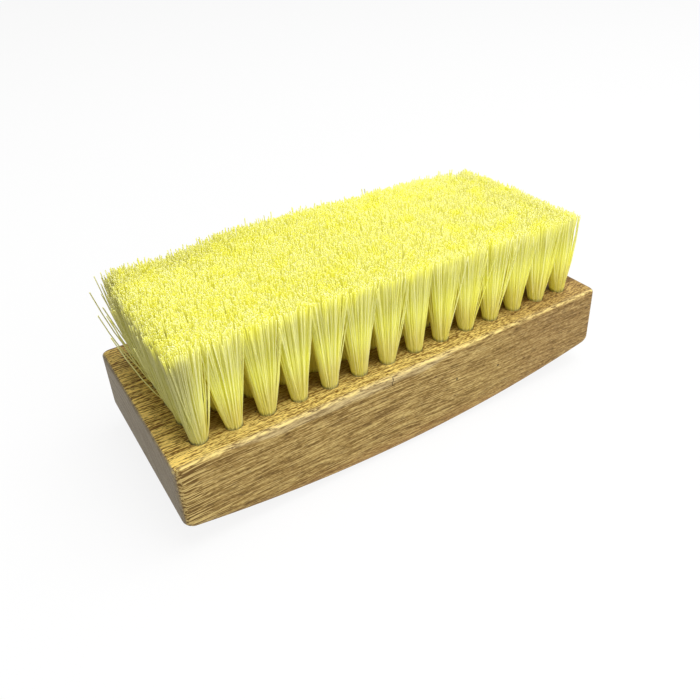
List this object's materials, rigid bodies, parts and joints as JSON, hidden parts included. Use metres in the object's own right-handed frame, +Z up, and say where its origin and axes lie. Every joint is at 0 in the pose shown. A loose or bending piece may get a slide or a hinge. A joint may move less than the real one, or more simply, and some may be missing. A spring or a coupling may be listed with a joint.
{
  "type": "laundry brush",
  "caption": "Hand brush for laundry: a hardwood block with an arched back, a flat face and rows of pale yellow bristle tufts that fan out at one end.",
  "frame": {"origin": "middle of the flat facet at the lowest point of the arched back, on which the brush rests with its bristles up", "axes": "+Z up, from the back to the bristle tips; +X along the brush, away from the end whose bristles fan out; +Y across it, from the front side to the back side"},
  "size_m": [0.1356, 0.058, 0.0545],
  "materials": {
    "wood": "bare sanded hardwood, unvarnished",
    "bristle": "pale yellow translucent filaments"
  },
  "bodies": {
    "root": {"block": "wood", "tufts_01_rows_1_2": "bristle", "tufts_01_rows_3_4": "bristle", "tufts_01_rows_5_6": "bristle", "tufts_02_rows_1_2": "bristle", "tufts_02_rows_3_4": "bristle", "tufts_02_rows_5_6": "bristle", "tufts_03_rows_1_2": "bristle", "tufts_03_rows_3_4": "bristle", "tufts_03_rows_5_6": "bristle", "tufts_04_rows_1_2": "bristle", "tufts_04_rows_3_4": "bristle", "tufts_04_rows_5_6": "bristle", "tufts_05_rows_1_2": "bristle", "tufts_05_rows_3_4": "bristle", "tufts_05_rows_5_6": "bristle", "tufts_06_rows_1_2": "bristle", "tufts_06_rows_3_4": "bristle", "tufts_06_rows_5_6": "bristle", "tufts_07_rows_1_2": "bristle", "tufts_07_rows_3_4": "bristle", "tufts_07_rows_5_6": "bristle", "tufts_08_rows_1_2": "bristle", "tufts_08_rows_3_4": "bristle", "tufts_08_rows_5_6": "bristle", "tufts_09_rows_1_2": "bristle", "tufts_09_rows_3_4": "bristle", "tufts_09_rows_5_6": "bristle", "tufts_10_rows_1_2": "bristle", "tufts_10_rows_3_4": "bristle", "tufts_10_rows_5_6": "bristle", "tufts_11_rows_1_2": "bristle", "tufts_11_rows_3_4": "bristle", "tufts_11_rows_5_6": "bristle", "tufts_12_rows_1_2": "bristle", "tufts_12_rows_3_4": "bristle", "tufts_12_rows_5_6": "bristle", "tufts_13_rows_1_2": "bristle", "tufts_13_rows_3_4": "bristle", "tufts_13_rows_5_6": "bristle", "tufts_14_rows_1_2": "bristle", "tufts_14_rows_3_4": "bristle", "tufts_14_rows_5_6": "bristle"}
  },
  "joints": []
}
